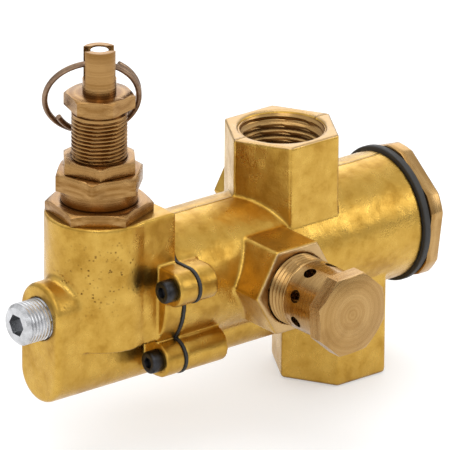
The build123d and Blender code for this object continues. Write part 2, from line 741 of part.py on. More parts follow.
# Piston seal, a ring that fills its groove
with BuildPart() as piston_seal:
    seal_wire = piston_r - piston_groove_d / 2 - seat_gap
    with BuildSketch(bore_plane):
        with Locations(((groove_left + groove_right) / 2, piston_r - seal_wire / 2)):
            Circle(seal_wire / 2)
    revolve(axis=bore_axis)
piston_seal.part.label = "piston_seal"
export_step(piston_seal.part, "parts/piston_seal.step")


def ring_disc(start, thick, outer_d, inner_d):
    # A flat ring on the main bore, from a distance measured from the inlet axis
    return outline(bore_plane, [
        (start, inner_d / 2),
        (start, outer_d / 2),
        (start + thick, outer_d / 2),
        (start + thick, inner_d / 2),
    ])


stud_hole_d = poppet_stud_d + 2 * thread_gap
with BuildPart() as vent_seal:
    revolve(ring_disc(-vent_seat_x, vent_seal_t, vent_disc_d, stud_hole_d), axis=bore_axis)
vent_seal.part.label = "vent_seal"
export_step(vent_seal.part, "parts/vent_seal.step")

vent_poppet_x = -vent_seat_x + vent_seal_t
with BuildPart() as vent_poppet:
    revolve(ring_disc(vent_poppet_x, vent_poppet_t, vent_disc_d, stud_hole_d), axis=bore_axis)
vent_poppet.part.label = "vent_poppet"
export_step(vent_poppet.part, "parts/vent_poppet.step")

with BuildPart() as poppet_nut:
    poppet_nut_plane = across(inlet_x + vent_poppet_x + vent_poppet_t)
    extrude(polygon(poppet_nut_plane, poppet_nut_af, 6, 0), amount=poppet_nut_h)
    extrude(disc(poppet_nut_plane, stud_hole_d), amount=poppet_nut_h, mode=Mode.SUBTRACT)
poppet_nut.part.label = "poppet_nut"
export_step(poppet_nut.part, "parts/poppet_nut.step")

# Unloader spring from the piston to the shoulder of its chamber
with BuildPart() as unloader_spring:
    with BuildLine():
        unloader_route = coil((inlet_x + piston_right + seat_gap, 0, bore_z), (1, 0, 0), unloader_coil,
                              unloader_wire, -piston_bore_end - piston_right - 2 * seat_gap, unloader_turns)
    with BuildSketch(Plane(unloader_route @ 0, z_dir=unloader_route % 0)):
        Circle(unloader_wire / 2)
    sweep(is_frenet=True)
unloader_spring.part.label = "unloader_spring"
export_step(unloader_spring.part, "parts/unloader_spring.step")

# Check valve: disc with a guide stem, soft seal and nut
check_face = check_seat_x + check_lip_h
check_disc_x = check_face + check_seal_t
with BuildPart() as check_poppet:
    check_steps = [
        (check_face - check_nut_h, 0),
        (check_face - check_nut_h, check_stud_d / 2),
        (check_disc_x, check_stud_d / 2),
        (check_disc_x, check_disc_d / 2),
        (check_disc_x + check_disc_t, check_disc_d / 2),
        (check_disc_x + check_disc_t, check_guide_d / 2),
        (check_disc_x + check_disc_t + check_guide_len, check_guide_d / 2),
        (check_disc_x + check_disc_t + check_guide_len, 0),
    ]
    revolve(outline(bore_plane, check_steps), axis=bore_axis)
check_poppet.part.label = "check_poppet"
export_step(check_poppet.part, "parts/check_poppet.step")

check_hole_d = check_stud_d + 2 * thread_gap
with BuildPart() as check_seal:
    revolve(ring_disc(check_face, check_seal_t, check_disc_d, check_hole_d), axis=bore_axis)
check_seal.part.label = "check_seal"
export_step(check_seal.part, "parts/check_seal.step")

with BuildPart() as check_nut:
    check_nut_plane = across(inlet_x + check_face - check_nut_h)
    extrude(polygon(check_nut_plane, check_nut_af, 6, 0), amount=check_nut_h)
    extrude(disc(check_nut_plane, check_hole_d), amount=check_nut_h, mode=Mode.SUBTRACT)
check_nut.part.label = "check_nut"
export_step(check_nut.part, "parts/check_nut.step")

with BuildPart() as check_spring:
    spring_start = check_disc_x + check_disc_t + seat_gap
    spring_end = spigot_x + cap_pocket_depth - inlet_x - seat_gap
    with BuildLine():
        check_route = coil((inlet_x + spring_start, 0, bore_z), (1, 0, 0), check_coil, check_wire,
                           spring_end - spring_start, check_turns)
    with BuildSketch(Plane(check_route @ 0, z_dir=check_route % 0)):
        Circle(check_wire / 2)
    sweep(is_frenet=True)
check_spring.part.label = "check_spring"
export_step(check_spring.part, "parts/check_spring.step")
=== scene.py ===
import json
import math

import bmesh
import bpy
from mathutils import Matrix, Vector


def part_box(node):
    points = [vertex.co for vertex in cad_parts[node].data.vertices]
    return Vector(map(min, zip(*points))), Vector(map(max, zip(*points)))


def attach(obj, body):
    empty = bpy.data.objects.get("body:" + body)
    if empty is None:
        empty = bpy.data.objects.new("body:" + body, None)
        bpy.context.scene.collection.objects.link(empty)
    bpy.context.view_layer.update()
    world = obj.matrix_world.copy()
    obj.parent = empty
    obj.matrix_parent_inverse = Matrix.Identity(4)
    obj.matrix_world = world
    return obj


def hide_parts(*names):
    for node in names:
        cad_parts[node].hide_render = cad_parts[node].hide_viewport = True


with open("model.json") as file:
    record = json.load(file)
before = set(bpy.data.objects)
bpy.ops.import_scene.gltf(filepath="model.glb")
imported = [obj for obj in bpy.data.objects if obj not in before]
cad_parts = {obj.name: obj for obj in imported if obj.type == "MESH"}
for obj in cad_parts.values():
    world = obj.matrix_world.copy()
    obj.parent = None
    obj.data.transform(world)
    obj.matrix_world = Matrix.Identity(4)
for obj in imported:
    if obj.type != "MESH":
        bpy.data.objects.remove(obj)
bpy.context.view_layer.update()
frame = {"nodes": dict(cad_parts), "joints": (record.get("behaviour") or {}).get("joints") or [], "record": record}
mm = 0.001
mounts = {m["name"]: m for m in frame["record"]["mounts"]}
joints = {j["name"]: j for j in frame["joints"]}
print("frame loaded:", len(frame["nodes"]), "nodes")

# Axes that the pieces share, read from the frame
tankPort = Vector(mounts["tank_port"]["pos_m"])
inletPort = Vector(mounts["inlet_port"]["pos_m"])
pistonLow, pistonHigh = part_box("unloader_piston")
boreHeight = (pistonLow.z + pistonHigh.z) / 2
ringHinge = Vector(joints["ring_swing"]["pos_m"])
pilotAxis = Vector((ringHinge.x, 0, boreHeight))
ventLow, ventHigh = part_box("vent_plug")
ventAxis = Vector(((ventLow.x + ventHigh.x) / 2, 0, boreHeight))
boreAxis = Vector((0, 0, boreHeight))
slideways = Vector(joints["ring_swing"]["axis"])  # the slot's direction, left to right in the photo


# Mesh helpers

def meshObject(name, mesh):
    piece = bpy.data.objects.new(name, mesh)
    bpy.context.scene.collection.objects.link(piece)
    return piece


def applied(piece):
    # bakes the modifiers into a fresh mesh
    graph = bpy.context.evaluated_depsgraph_get()
    mesh = bpy.data.meshes.new_from_object(piece.evaluated_get(graph))
    piece.modifiers.clear()
    old = piece.data
    piece.data = mesh
    bpy.data.meshes.remove(old)
    return piece


def cadCopy(node, name):
    # the node's shape as a clean mesh with whole flat faces
    source = frame["nodes"][node].data
    mesh = bpy.data.meshes.new(name)
    bm = bmesh.new()
    bm.from_mesh(source)
    bmesh.ops.remove_doubles(bm, verts=bm.verts, dist=1e-7)
    bm.to_mesh(mesh)
    bm.free()
    clean = bpy.data.meshes.new(name)
    clean.from_pydata([v.co[:] for v in mesh.vertices], [], [p.vertices[:] for p in mesh.polygons])
    bpy.data.meshes.remove(mesh)
    return meshObject(name, clean)


def softenEdges(piece, width, sharpest=28, rounds=2):
    # small bevels on the hard edges, smooth shading elsewhere
    bm = bmesh.new()
    bm.from_mesh(piece.data)
    bmesh.ops.dissolve_limit(bm, angle_limit=math.radians(0.4), verts=bm.verts, edges=bm.edges)
    hard = [e for e in bm.edges if len(e.link_faces) == 2 and e.calc_face_angle(0) > math.radians(sharpest)]
    if width:
        bmesh.ops.bevel(bm, geom=hard, offset=width, offset_type="OFFSET", segments=rounds, profile=0.5,
                        affect="EDGES", clamp_overlap=True)
    bmesh.ops.triangulate(bm, faces=[f for f in bm.faces if len(f.verts) > 4])
    bm.to_mesh(piece.data)
    bm.free()
    shadeByAngle(piece, 32)
    return piece


def shadeByAngle(piece, degrees):
    mesh = piece.data
    mesh.shade_smooth()
    mesh.set_sharp_from_angle(angle=math.radians(degrees))
    return piece


def cutAway(piece, tool):
    change = piece.modifiers.new("cut", "BOOLEAN")
    change.operation = "DIFFERENCE"
    change.solver = "MANIFOLD"
    change.object = tool
    applied(piece)
    bpy.data.objects.remove(tool)
    return piece


def join(piece, *others):
    bm = bmesh.new()
    bm.from_mesh(piece.data)
    for other in others:
        bm.from_mesh(other.data)
        bpy.data.objects.remove(other)
    bm.to_mesh(piece.data)
    bm.free()
    return piece


def dress(piece, body, slotName, material, *nodes):
    piece.data.materials.clear()
    piece.data.materials.append(material)
    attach(piece, body)
    if nodes:
        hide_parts(*nodes)
    return piece


def alongAxis(axis):
    # turns +Z to the given direction
    return Vector(axis).to_track_quat("Z", "Y").to_matrix()


def threadSleeve(name, start, axis, length, thread):
    # a closed sleeve with a helical ridge on its inner face; as a tool it cuts an outside thread
    perPitch, around = thread["steps"], thread["around"]
    rows = int(length / thread["pitch"] * perPitch)
    turn = alongAxis(axis)
    verts, faces = [], []
    size = rows + 3
    for k in range(around):
        angle = 2 * math.pi * k / around
        out = Vector((math.cos(angle), math.sin(angle), 0))
        profile = []
        for i in range(rows + 1):
            along = length * i / rows
            phase = (along / thread["pitch"] - k / around) % 1
            flank = abs(2 * phase - 1)
            flank = min(1.0, max(0.0, (flank - thread["flat"]) / (1 - 2 * thread["flat"])))
            fade = min(1.0, (length - along) / thread["runOut"], (along + thread["startCut"]) / thread["runOut"])
            taper = thread.get("taper", 0) * along
            profile.append((thread["root"] - taper - (thread["root"] - thread["crest"]) * flank * max(0.0, fade), along))
        profile.append((thread["outer"], length))
        profile.append((thread["outer"], 0.0))
        for radius, along in profile:
            verts.append(turn @ (out * radius + Vector((0, 0, along))) + start)
    for k in range(around):
        here, there = k * size, (k + 1) % around * size
        for i in range(size):
            j = (i + 1) % size
            faces.append((here + i, there + i, there + j, here + j))
    mesh = bpy.data.meshes.new(name)
    mesh.from_pydata(verts, [], faces)
    bm = bmesh.new()
    bm.from_mesh(mesh)
    bmesh.ops.recalc_face_normals(bm, faces=bm.faces)
    bm.to_mesh(mesh)
    bm.free()
    return meshObject(name, mesh)


# Node group helpers

def groupTree(name, inputs, outputs):
    group = bpy.data.node_groups.new(name, "ShaderNodeTree")
    for label, kind, value in inputs:
        made = group.interface.new_socket(label, in_out="INPUT", socket_type=kind)
        made.default_value = value
    for label, kind in outputs:
        group.interface.new_socket(label, in_out="OUTPUT", socket_type=kind)
    enter = group.nodes.new("NodeGroupInput")
    leave = group.nodes.new("NodeGroupOutput")
    return group, enter, leave


def put(tree, kind, values=None, **settings):
    made = tree.nodes.new(kind)
    for key, value in settings.items():
        setattr(made, key, value)
    for key, value in (values or {}).items():
        made.inputs[key].default_value = value
    return made


def maths(tree, operation, first, second=0.5, clamp=False):
    # a Math node; numbers are set and sockets are linked
    made = put(tree, "ShaderNodeMath", operation=operation, use_clamp=clamp)
    for index, value in enumerate((first, second)):
        if isinstance(value, (int, float)):
            made.inputs[index].default_value = value
        else:
            tree.links.new(value, made.inputs[index])
    return made.outputs[0]


def ranged(tree, value, low, high, toLow=0.0, toHigh=1.0):
    made = put(tree, "ShaderNodeMapRange", {"From Min": low, "From Max": high, "To Min": toLow, "To Max": toHigh})
    tree.links.new(value, made.inputs["Value"])
    return made.outputs["Result"]


def mixed(tree, factor, first, second, blend="MIX"):
    # a colour mix; tuples are set and sockets are linked
    made = put(tree, "ShaderNodeMix", data_type="RGBA", blend_type=blend)
    for socket, value in ((made.inputs[0], factor), (made.inputs[6], first), (made.inputs[7], second)):
        if isinstance(value, (int, float)):
            socket.default_value = value
        elif isinstance(value, tuple):
            socket.default_value = (*value, 1) if len(value) == 3 else value
        else:
            tree.links.new(value, socket)
    return made.outputs[2]


# Shared effects

def makeMottle():
    # soft blotches, fine grain and a slow waviness, as on a tumbled forging
    group, enter, leave = groupTree("mottle", [
        ("Blotch Size", "NodeSocketFloat", 0.006),
        ("Grain Size", "NodeSocketFloat", 0.0004),
        ("Wave Size", "NodeSocketFloat", 0.004),
    ], [("Blotch", "NodeSocketFloat"), ("Grain", "NodeSocketFloat"), ("Wave", "NodeSocketFloat")])
    where = put(group, "ShaderNodeTexCoord").outputs["Object"]
    for socket, detail, rough in (("Blotch", 5.0, 0.62), ("Grain", 3.0, 0.6), ("Wave", 1.5, 0.4)):
        noise = put(group, "ShaderNodeTexNoise", {"Detail": detail, "Roughness": rough})
        group.links.new(where, noise.inputs["Vector"])
        group.links.new(maths(group, "DIVIDE", 1.0, enter.outputs[socket + " Size"]), noise.inputs["Scale"])
        group.links.new(noise.outputs["Fac"], leave.inputs[socket])
    return group


def makePits():
    # scattered small casting pits, as a mask and a depth
    group, enter, leave = groupTree("pits", [
        ("Spacing", "NodeSocketFloat", 0.0012),
        ("Amount", "NodeSocketFloat", 0.5),
    ], [("Pit", "NodeSocketFloat")])
    where = put(group, "ShaderNodeTexCoord").outputs["Object"]
    cells = put(group, "ShaderNodeTexVoronoi")
    crowd = put(group, "ShaderNodeTexNoise", {"Scale": 260.0, "Detail": 3.0})
    rate = maths(group, "DIVIDE", 1.0, enter.outputs["Spacing"])
    group.links.new(where, cells.inputs["Vector"])
    group.links.new(where, crowd.inputs["Vector"])
    group.links.new(rate, cells.inputs["Scale"])
    spot = ranged(group, cells.outputs["Distance"], 0.32, 0.12)
    keep = maths(group, "GREATER_THAN", cells.outputs["Color"], maths(group, "SUBTRACT", 1.0, enter.outputs["Amount"]))
    patch = ranged(group, crowd.outputs["Fac"], 0.42, 0.6)
    group.links.new(maths(group, "MULTIPLY", maths(group, "MULTIPLY", spot, keep), patch), leave.inputs["Pit"])
    return group


def makeTurning():
    # fine rings about an axis, from the lathe: they follow both the round and the flat faces
    group, enter, leave = groupTree("turning", [
        ("Centre", "NodeSocketVector", (0, 0, 0)),
        ("Axis", "NodeSocketVector", (0, 0, 1)),
        ("Spacing", "NodeSocketFloat", 0.00025),
    ], [("Rings", "NodeSocketFloat"), ("Bands", "NodeSocketFloat")])
    where = put(group, "ShaderNodeTexCoord").outputs["Object"]
    away = put(group, "ShaderNodeVectorMath", operation="SUBTRACT")
    group.links.new(where, away.inputs[0])
    group.links.new(enter.outputs["Centre"], away.inputs[1])
    along = put(group, "ShaderNodeVectorMath", operation="DOT_PRODUCT")
    group.links.new(away.outputs[0], along.inputs[0])
    group.links.new(enter.outputs["Axis"], along.inputs[1])
    over = put(group, "ShaderNodeVectorMath", operation="CROSS_PRODUCT")
    group.links.new(away.outputs[0], over.inputs[0])
    group.links.new(enter.outputs["Axis"], over.inputs[1])
    reach = put(group, "ShaderNodeVectorMath", operation="LENGTH")
    group.links.new(over.outputs[0], reach.inputs[0])
    pair = put(group, "ShaderNodeCombineXYZ")
    group.links.new(reach.outputs["Value"], pair.inputs[0])
    group.links.new(along.outputs["Value"], pair.inputs[1])
    for socket, stretch, detail in (("Rings", 1.0, 4.0), ("Bands", 7.0, 2.0)):
        noise = put(group, "ShaderNodeTexNoise", {"Detail": detail, "Roughness": 0.7}, noise_dimensions="2D")
        group.links.new(pair.outputs[0], noise.inputs["Vector"])
        rate = maths(group, "DIVIDE", 1.0 / stretch, enter.outputs["Spacing"])
        group.links.new(rate, noise.inputs["Scale"])
        group.links.new(noise.outputs["Fac"], leave.inputs[socket])
    return group


def makeEdgeHighlight():
    # painted highlight: lighter colour along outside edges, found from the bevel normal
    group, enter, leave = groupTree("edgeHighlight", [
        ("Width", "NodeSocketFloat", 0.0004),
        ("Breakup", "NodeSocketFloat", 0.5),
    ], [("Edge", "NodeSocketFloat")])
    bevel = put(group, "ShaderNodeBevel", samples=6)
    group.links.new(enter.outputs["Width"], bevel.inputs["Radius"])
    shape = put(group, "ShaderNodeNewGeometry")
    match = put(group, "ShaderNodeVectorMath", operation="DOT_PRODUCT")
    group.links.new(bevel.outputs[0], match.inputs[0])
    group.links.new(shape.outputs["Normal"], match.inputs[1])
    turned = ranged(group, match.outputs["Value"], 0.995, 0.85)
    noise = put(group, "ShaderNodeTexNoise", {"Scale": 900.0, "Detail": 4.0})
    group.links.new(put(group, "ShaderNodeTexCoord").outputs["Object"], noise.inputs["Vector"])
    broken = maths(group, "SUBTRACT", 1.0, maths(group, "MULTIPLY", noise.outputs["Fac"], enter.outputs["Breakup"]))
    group.links.new(maths(group, "MULTIPLY", turned, broken), leave.inputs["Edge"])
    return group


def makeCornerShade():
    # painted shade: darkens corners and joints where ambient occlusion finds them
    group, enter, leave = groupTree("shadeInCorners", [("Distance", "NodeSocketFloat", 0.002)],
                                    [("Corner", "NodeSocketFloat")])
    shade = put(group, "ShaderNodeAmbientOcclusion", samples=8)
    group.links.new(enter.outputs["Distance"], shade.inputs["Distance"])
    group.links.new(ranged(group, shade.outputs["AO"], 0.75, 0.25), leave.inputs["Corner"])
    return group


def makeSpot():
    # a soft round patch about one place, with a ragged rim
    group, enter, leave = groupTree("spot", [
        ("Place", "NodeSocketVector", (0, 0, 0)),
        ("Reach", "NodeSocketFloat", 0.004),
    ], [("Spot", "NodeSocketFloat")])
    where = put(group, "ShaderNodeTexCoord").outputs["Object"]
    away = put(group, "ShaderNodeVectorMath", operation="DISTANCE")
    group.links.new(where, away.inputs[0])
    group.links.new(enter.outputs["Place"], away.inputs[1])
    noise = put(group, "ShaderNodeTexNoise", {"Scale": 500.0, "Detail": 4.0})
    group.links.new(where, noise.inputs["Vector"])
    ragged = maths(group, "ADD", maths(group, "DIVIDE", away.outputs["Value"], enter.outputs["Reach"]),
                   maths(group, "MULTIPLY", noise.outputs["Fac"], 0.6))
    group.links.new(ranged(group, ragged, 1.25, 0.55), leave.inputs["Spot"])
    return group


mottle, pits, turning = makeMottle(), makePits(), makeTurning()
# the corner group paints shade into corners and joints; the edge group paints highlights on outside edges
edgeHighlight, shadeInCorners, spot = makeEdgeHighlight(), makeCornerShade(), makeSpot()
print("shared effects ready")


def placeGroup(tree, group, values=None):
    made = put(tree, "ShaderNodeGroup", node_tree=group)
    for key, value in (values or {}).items():
        made.inputs[key].default_value = value
    return made.outputs


def principled(name, metallic, roughness):
    material = bpy.data.materials.new(name)
    material.use_nodes = True
    tree = material.node_tree
    shader = tree.nodes["Principled BSDF"]
    shader.inputs["Metallic"].default_value = metallic
    shader.inputs["Roughness"].default_value = roughness
    return material, tree, shader


def bumped(tree, shader, *layers):
    # stacks Bump nodes: each layer is (height socket, depth in metres)
    before = None
    for height, depth in layers:
        bump = put(tree, "ShaderNodeBump", {"Strength": 1.0, "Distance": depth})
        tree.links.new(height, bump.inputs["Height"])
        if before:
            tree.links.new(before, bump.inputs["Normal"])
        before = bump.outputs[0]
    tree.links.new(before, shader.inputs["Normal"])


# tarnishAndShade is the dark brown of the pits and the stain, and also the colour of the painted shade in corners
castBrassLook = {
    "light": (0.62, 0.39, 0.085), "base": (0.47, 0.265, 0.042), "dark": (0.30, 0.15, 0.02),
    "tarnishAndShade": (0.10, 0.045, 0.01), "cut": (0.50, 0.33, 0.15), "roughness": (0.22, 0.38),
}


def castBrass(name, pitPlace=None, stain=None, cuts=(), seam=False):
    look = castBrassLook
    material, tree, shader = principled(name, 1.0, 0.35)
    surface = placeGroup(tree, mottle)
    edgeHighlightMask = placeGroup(tree, edgeHighlight, {"Width": 0.0006})["Edge"]
    cornerShadeMask = placeGroup(tree, shadeInCorners)["Corner"]
    tone = mixed(tree, ranged(tree, surface["Blotch"], 0.35, 0.68), look["base"], look["light"])
    tone = mixed(tree, ranged(tree, surface["Blotch"], 0.46, 0.30, 0.0, 0.35), tone, look["dark"])
    tone = mixed(tree, maths(tree, "MULTIPLY", surface["Grain"], 0.18), tone, look["dark"])
    # painted shade: corners and joints darkened towards the tarnish brown
    tone = mixed(tree, maths(tree, "MULTIPLY", cornerShadeMask, 0.6), tone, look["tarnishAndShade"])
    # painted highlight: outside edges lightened towards the light brass tone
    tone = mixed(tree, maths(tree, "MULTIPLY", edgeHighlightMask, 0.5), tone, look["light"])
    rough = ranged(tree, surface["Blotch"], 0.3, 0.7, look["roughness"][1], look["roughness"][0])
    layers = [(surface["Wave"], 0.00025), (surface["Grain"], 0.00006)]
    if pitPlace:
        near = placeGroup(tree, spot, {"Place": pitPlace[0], "Reach": pitPlace[1]})["Spot"]
        hole = maths(tree, "MULTIPLY", placeGroup(tree, pits, {"Amount": 0.75, "Spacing": 0.001})["Pit"], near)
        tone = mixed(tree, maths(tree, "MULTIPLY", hole, 0.8), tone, look["tarnishAndShade"])
        rough = maths(tree, "ADD", rough, maths(tree, "MULTIPLY", near, 0.1))
        layers.append((maths(tree, "SUBTRACT", 1.0, hole), 0.0002))
    if stain:
        patch = placeGroup(tree, spot, {"Place": stain[0], "Reach": stain[1]})["Spot"]
        tone = mixed(tree, maths(tree, "MULTIPLY", patch, 0.75), tone, look["tarnishAndShade"])
    if cuts:
        where = put(tree, "ShaderNodeTexCoord").outputs["Object"]
        bare = None
        for axis, height in cuts:
            along = put(tree, "ShaderNodeVectorMath", {1: axis}, operation="DOT_PRODUCT")
            tree.links.new(where, along.inputs[0])
            past = maths(tree, "GREATER_THAN", along.outputs["Value"], height)
            bare = maths(tree, "MAXIMUM", bare, past) if bare else past
        tone = mixed(tree, bare, tone, look["cut"])
    if seam:
        place = put(tree, "ShaderNodeSeparateXYZ")
        tree.links.new(put(tree, "ShaderNodeTexCoord").outputs["Object"], place.inputs[0])
        drift = maths(tree, "MULTIPLY", maths(tree, "SUBTRACT", surface["Wave"], 0.5), 0.0006)
        offset = maths(tree, "ABSOLUTE", maths(tree, "ADD", place.outputs["Y"], drift))
        ridge = ranged(tree, offset, 0.0005, 0.0001)
        tone = mixed(tree, maths(tree, "MULTIPLY", ranged(tree, offset, 0.0004, 0.00015), 0.35), tone, look["dark"])
        layers.append((ridge, 0.00025))
    tree.links.new(tone, shader.inputs["Base Color"])
    tree.links.new(rough, shader.inputs["Roughness"])
    bumped(tree, shader, *layers)
    return material


# in these two looks tarnishAndShade is only the colour of the painted shade in corners
turnedBrassLook = {
    "light": (0.48, 0.30, 0.12), "base": (0.35, 0.20, 0.066), "dark": (0.21, 0.105, 0.03),
    "tarnishAndShade": (0.10, 0.045, 0.012), "roughness": (0.18, 0.34),
}
brownBrassLook = {
    "light": (0.40, 0.23, 0.085), "base": (0.23, 0.11, 0.028), "dark": (0.12, 0.05, 0.012),
    "tarnishAndShade": (0.06, 0.025, 0.007), "roughness": (0.16, 0.32),
}


def turnedBrass(name, centre, axis, spacing=0.00025, depth=0.00003, look=turnedBrassLook):
    material, tree, shader = principled(name, 1.0, 0.28)
    surface = placeGroup(tree, mottle, {"Blotch Size": 0.009, "Grain Size": 0.0003})
    lathe = placeGroup(tree, turning, {"Centre": tuple(centre), "Axis": tuple(axis), "Spacing": spacing})
    edgeHighlightMask = placeGroup(tree, edgeHighlight, {"Width": 0.0003})["Edge"]
    cornerShadeMask = placeGroup(tree, shadeInCorners, {"Distance": 0.0012})["Corner"]
    tone = mixed(tree, ranged(tree, lathe["Bands"], 0.3, 0.7), look["base"], look["light"])
    tone = mixed(tree, ranged(tree, surface["Blotch"], 0.5, 0.3, 0.0, 0.4), tone, look["dark"])
    # painted shade: corners and joints darkened towards the tarnish brown
    tone = mixed(tree, maths(tree, "MULTIPLY", cornerShadeMask, 0.7), tone, look["tarnishAndShade"])
    # painted highlight: outside edges lightened towards the light brass tone
    tone = mixed(tree, maths(tree, "MULTIPLY", edgeHighlightMask, 0.6), tone, look["light"])
    tree.links.new(tone, shader.inputs["Base Color"])
    tree.links.new(ranged(tree, lathe["Rings"], 0.3, 0.7, *look["roughness"]), shader.inputs["Roughness"])
    bumped(tree, shader, (lathe["Rings"], depth), (surface["Grain"], 0.00001))
    return material


def plainMetal(name, light, dark, rough, centre, axis, depth=0.00002, metallic=1.0):
    material, tree, shader = principled(name, metallic, rough)
    surface = placeGroup(tree, mottle, {"Blotch Size": 0.003, "Grain Size": 0.00025})
    lathe = placeGroup(tree, turning, {"Centre": tuple(centre), "Axis": tuple(axis), "Spacing": 0.0002})
    edgeHighlightMask = placeGroup(tree, edgeHighlight, {"Width": 0.00025})["Edge"]
    tone = mixed(tree, ranged(tree, surface["Blotch"], 0.3, 0.7), dark, light)
    # painted highlight: outside edges lightened towards the light tone
    tone = mixed(tree, maths(tree, "MULTIPLY", edgeHighlightMask, 0.5), tone, light)
    tree.links.new(tone, shader.inputs["Base Color"])
    tree.links.new(ranged(tree, surface["Grain"], 0.3, 0.7, rough * 0.75, rough * 1.25), shader.inputs["Roughness"])
    bumped(tree, shader, (lathe["Rings"], depth), (surface["Grain"], depth))
    return material


def blackRubber(name):
    material, tree, shader = principled(name, 0.0, 0.55)
    surface = placeGroup(tree, mottle, {"Blotch Size": 0.002, "Grain Size": 0.0003})
    tone = mixed(tree, surface["Blotch"], (0.012, 0.012, 0.012), (0.035, 0.033, 0.03))
    tree.links.new(tone, shader.inputs["Base Color"])
    tree.links.new(ranged(tree, surface["Grain"], 0.3, 0.7, 0.45, 0.7), shader.inputs["Roughness"])
    bumped(tree, shader, (surface["Grain"], 0.00004))
    return material


# Castings: the CAD solids, softened as forged and cast metal is

bodyCasting = {"voxel": 0.4 * mm, "smooth": 4, "keep": 0.52}
pilotCasting = {"voxel": 0.34 * mm, "smooth": 4, "keep": 0.8}


def casting(node, name, look):
    piece = cadCopy(node, name)
    grid = piece.modifiers.new("grid", "REMESH")
    grid.mode = "VOXEL"
    grid.voxel_size = look["voxel"] * 1
    soft = piece.modifiers.new("soft", "SMOOTH")
    soft.factor = 0.5
    soft.iterations = look["smooth"]
    thin = piece.modifiers.new("thin", "DECIMATE")
    thin.ratio = look["keep"]
    applied(piece)
    piece.data.shade_smooth()
    return piece


stainPlace = Vector((-68.7, -12.6, 44.0)) * mm
pitCentre = Vector((-78.6, -10.1, 46.0)) * mm
ventFace = -ventAxis.y + 24.2 * mm
forgedBrass = castBrass("forgedBrass", cuts=(((0, 0, 1), inletPort.z + 0.35 * mm), ((0, -1, 0), ventFace)), seam=True)
pittedBrass = castBrass("pittedBrass", (tuple(pitCentre), 0.014), (tuple(stainPlace), 0.004))
dress(casting("main_body", "mainBody", bodyCasting), "valve_body", "forged_brass", forgedBrass, "main_body")
dress(casting("pilot_body", "pilotBody", pilotCasting), "valve_body", "cast_brass", pittedBrass, "pilot_body")
print("castings ready")

# Pipe threads in the ports

halfInchPipe = {"pitch": 1.814 * mm, "root": 10.38 * mm, "crest": 9.35 * mm, "outer": 10.9 * mm, "flat": 0.08,
                "steps": 10, "around": 96, "runOut": 3 * mm, "startCut": 0.8 * mm, "length": 15.6 * mm}
quarterInchPipe = dict(halfInchPipe, pitch=1.411 * mm, root=6.48 * mm, crest=5.75 * mm, outer=6.8 * mm,
                       around=72, length=10 * mm)


def portThread(name, mount, thread):
    axis = Vector(mount["axis"])
    start = Vector(mount["pos_m"]) + axis * 0.05 * mm
    piece = threadSleeve(name, start, -axis, thread["length"], thread)
    shadeByAngle(piece, 50)
    dress(piece, "valve_body", "machined_brass", turnedBrass(name + "Brass", start, axis, 0.0002, 0.00002))


portThread("inletThread", mounts["inlet_port"], halfInchPipe)
portThread("tankThread", mounts["tank_port"], halfInchPipe)
portThread("gaugeThread", mounts["gauge_port"], quarterInchPipe)
print("port threads ready")

# Pilot stack on its upright axis

upright = (0, 0, 1)
pilotBrass = turnedBrass("pilotBrass", pilotAxis, upright, look=brownBrassLook)
adjustThread = {"pitch": 0.94 * mm, "root": 6.7 * mm, "crest": 6.08 * mm, "outer": 7.6 * mm, "flat": 0.1,
                "steps": 8, "around": 96, "runOut": 1.2 * mm, "startCut": 0.5 * mm}


def stackNut(node, name, width=0.16 * mm):
    piece = softenEdges(cadCopy(node, name), width)
    return dress(piece, "valve_body", "machined_brass", pilotBrass, node)


for node, name in (("jam_nut", "jamNut"), ("bonnet", "bonnet"), ("lock_nut", "lockNut")):
    stackNut(node, name)

lockLow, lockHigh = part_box("lock_nut")
screwLow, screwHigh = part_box("adjusting_screw")
hexUnder = 48.3 * mm + boreHeight
threadStart = Vector((pilotAxis.x, 0, lockHigh.z - 1.5 * mm))
adjusting = cadCopy("adjusting_screw", "adjustingScrew")
cutAway(adjusting, threadSleeve("screwTool", threadStart, upright, hexUnder - 1.3 * mm - threadStart.z, adjustThread))
softenEdges(adjusting, 0.0)
dress(adjusting, "valve_body", "machined_brass", pilotBrass, "adjusting_screw")
print("pilot stack ready")

# Lift stem and pull ring

brightSteel = plainMetal("brightSteel", (0.86, 0.86, 0.88), (0.62, 0.62, 0.65), 0.22, pilotAxis, upright)
dress(softenEdges(cadCopy("lift_stem", "liftStem"), 0.1 * mm), "lift_stem", "bright_steel", brightSteel, "lift_stem")
frame["nodes"]["pilot_ball"].data.materials.clear()
frame["nodes"]["pilot_ball"].data.materials.append(brightSteel)

ringLook = {"wire": 1.4 * mm, "outer": 23.6 * mm, "pitch": 1.5 * mm, "lean": 22.0, "shift": -6.8,
            "free": 211.0, "last": 777.5, "springIn": 2.0 * mm, "steps": 160}


